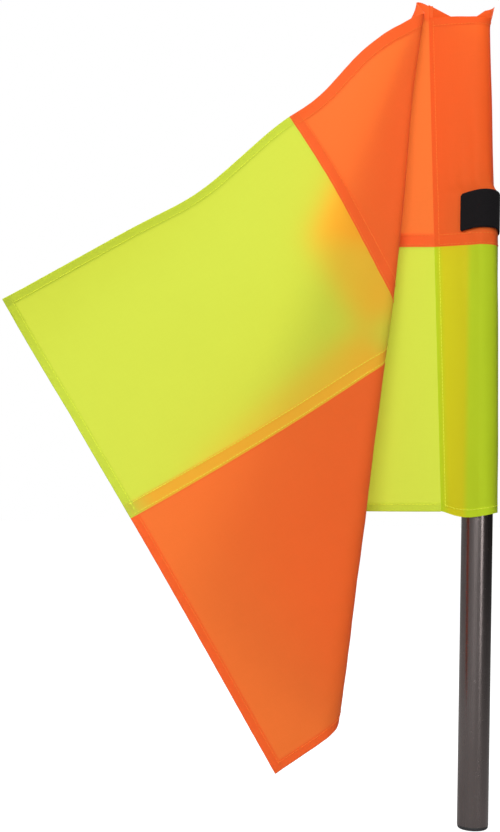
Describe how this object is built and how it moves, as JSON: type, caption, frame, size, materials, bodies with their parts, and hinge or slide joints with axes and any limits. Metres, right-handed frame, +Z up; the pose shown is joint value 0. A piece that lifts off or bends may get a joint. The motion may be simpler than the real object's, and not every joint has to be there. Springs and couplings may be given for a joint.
{
  "type": "hand-held signal flag",
  "caption": "Quartered high-visibility signal flag with a sewn sleeve held on a short tube pole by a hook-and-loop strap.",
  "frame": {"origin": "middle of the foot plug's lower face, on the pole's axis", "axes": "+Z up along the pole; the cloth leaves the sleeve towards -X and its outer face looks towards -Y"},
  "size_m": [0.385, 0.1199, 0.655],
  "materials": {
    "pole_metal": "dark satin",
    "plug_plastic": "matte",
    "orange_cloth": "plain woven, fluorescent",
    "yellow_cloth": "plain woven, fluorescent",
    "thread": "spun thread",
    "strap_webbing": "woven tape",
    "loop_tape": "napped loops",
    "hook_tape": "stiff hooks",
    "strap_thread": "spun thread"
  },
  "bodies": {
    "pole": {"pole_tube": "pole_metal", "pole_foot_plug": "plug_plastic", "pole_top_plug": "plug_plastic"},
    "sleeve": {"sleeve_upper": "orange_cloth", "sleeve_lower": "yellow_cloth", "sleeve_stitching": "thread", "strap_band": "strap_webbing", "strap_stitching": "strap_thread", "strap_loop_patch": "loop_tape"},
    "flag": {"hoist_upper_panel": "orange_cloth", "hoist_lower_panel": "yellow_cloth", "fly_upper_panel": "yellow_cloth", "fly_lower_panel": "orange_cloth"},
    "strap_end": {"strap_flap": "strap_webbing", "strap_hook_patch": "hook_tape"}
  },
  "joints": [
    {"name": "sleeve_slide", "type": "slide", "parent": "pole", "child": "sleeve", "axis": [0, 0, 1], "range_m": [0, 0.27]},
    {"name": "flag_swing", "type": "hinge", "parent": "sleeve", "child": "flag", "pos_m": [-0.0294, 0, 0.255], "axis": [-0.0402, 0, 0.9992], "range_deg": [-60, 45]},
    {"name": "strap_peel", "type": "hinge", "parent": "sleeve", "child": "strap_end", "pos_m": [0.0145, 0, 0.495], "axis": [0, 0, 1], "range_deg": [0, 120]}
  ]
}
